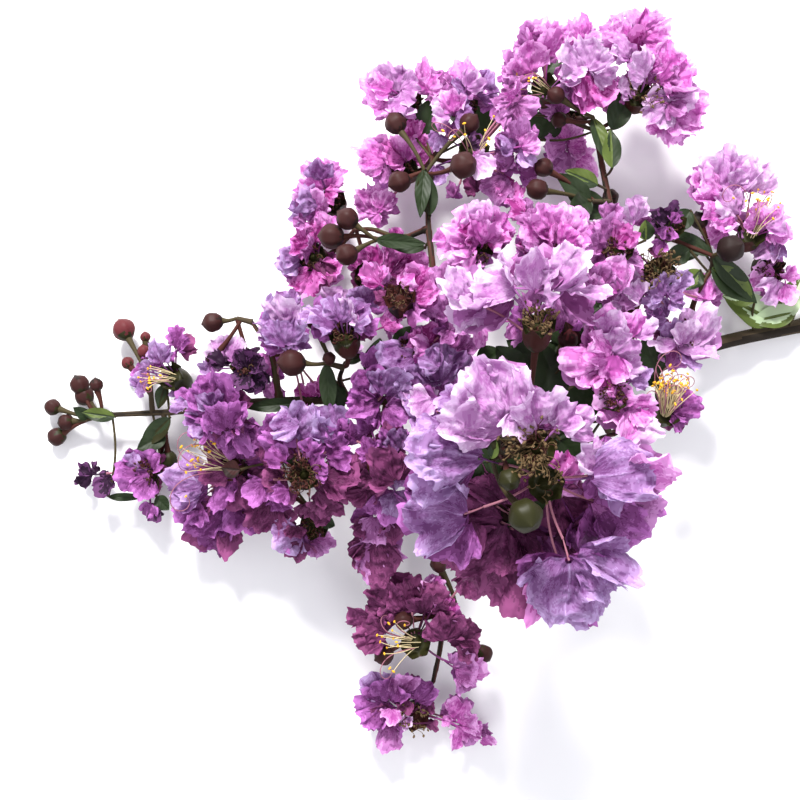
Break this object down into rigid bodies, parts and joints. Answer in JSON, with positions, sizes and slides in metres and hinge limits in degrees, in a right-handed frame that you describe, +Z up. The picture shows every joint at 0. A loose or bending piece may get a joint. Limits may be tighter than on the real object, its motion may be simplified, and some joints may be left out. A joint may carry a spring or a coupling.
{
  "type": "cut crape myrtle flowering branch",
  "caption": "Cut flowering branch of crape myrtle: a thin woody stem lying flat, its side stems carrying ruffled pink and lilac blooms, round buds and small leaves.",
  "frame": {"origin": "middle of the bounding box in plan, at the flat surface the branch lies on", "axes": "+Z up from the surface, towards the blooms that face the viewer; +X along the main stem towards its cut end; +Y across the branch, so that the long side stem with two blooms hangs towards -Y"},
  "size_m": [0.2109, 0.1942, 0.087],
  "materials": {
    "bark": "matte",
    "leaf": "satin",
    "petal": "satin"
  },
  "bodies": {
    "root": {"main_stem": "bark", "stem_upper_right": "bark", "stem_middle": "bark", "stem_left": "bark", "stem_centre_left": "bark", "stem_front": "bark", "stem_right_front": "bark", "stem_hanging": "bark", "stem_lower_left": "bark", "stem_upper_left": "bark", "stem_right": "bark", "sprig_tip": "leaf", "sprig_tip_upper": "leaf", "sprig_tip_lower": "leaf", "sprig_left": "leaf", "sprig_centre_left": "leaf", "sprig_upper_left": "leaf", "sprig_middle": "leaf", "sprig_upper_right": "leaf", "sprig_inner_right": "leaf", "sprig_right": "leaf", "sprig_stem_node": "leaf", "sprig_front": "leaf", "sprig_under_front": "leaf", "sprig_behind_right": "leaf", "sprig_hanging": "leaf", "bloom_front_upper": "petal", "bloom_front_lower": "petal", "bloom_centre_right": "petal", "bloom_hot_right": "petal", "bloom_upper_a": "petal", "bloom_upper_b": "petal", "bloom_centre": "petal", "bloom_middle": "petal", "bloom_centre_left": "petal", "bloom_middle_low": "petal", "bloom_left_low": "petal", "bloom_right_inner": "petal", "bloom_right_lilac": "petal", "bloom_right_far": "petal", "bloom_right_upper": "petal", "bloom_right_low": "petal", "bloom_crown_right": "petal", "bloom_crown_left": "petal", "bloom_top_left": "petal", "bloom_top": "petal", "bloom_top_front": "petal", "bloom_top_low": "petal", "bloom_left_top": "petal", "bloom_left_upper": "petal", "bloom_left_behind": "petal", "bloom_left_pale": "petal", "bloom_left_violet": "petal", "bloom_left_fan": "petal", "bloom_low_left": "petal", "bloom_low_mauve": "petal", "bloom_low_middle": "petal", "bloom_low_dark": "petal", "bloom_hanging_upper": "petal", "bloom_hanging_lower": "petal"}
  },
  "joints": []
}
